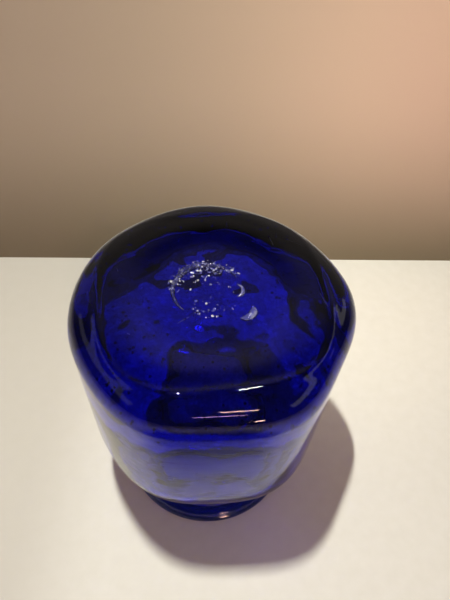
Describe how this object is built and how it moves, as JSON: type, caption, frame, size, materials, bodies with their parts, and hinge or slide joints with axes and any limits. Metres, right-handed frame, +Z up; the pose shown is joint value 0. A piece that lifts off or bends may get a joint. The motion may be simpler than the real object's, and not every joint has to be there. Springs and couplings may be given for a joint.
{
  "type": "wide-mouthed glass bottle",
  "caption": "Squat blown cobalt-blue glass bottle with a wide mouth, tooled lip and pontil-scarred base, shown standing upside down on its lip.",
  "frame": {"origin": "centre of the ring on the table that the lip rests on", "axes": "+Z up along the bottle's axis from the mouth to the base, +Y away from the picture's viewer, +X to the right"},
  "size_m": [0.1048, 0.1048, 0.1245],
  "materials": {
    "cobalt_glass": "hand-blown, glossy, slightly wavy, with seeds",
    "lip_glass": "thick tooled trail, glossy",
    "scar_glass": "broken, sharp-edged, sparkling"
  },
  "bodies": {
    "root": {"blown_body": "cobalt_glass", "applied_lip": "lip_glass", "pontil_ring": "scar_glass", "pontil_flakes": "scar_glass", "pontil_crumbs": "scar_glass"}
  },
  "joints": []
}
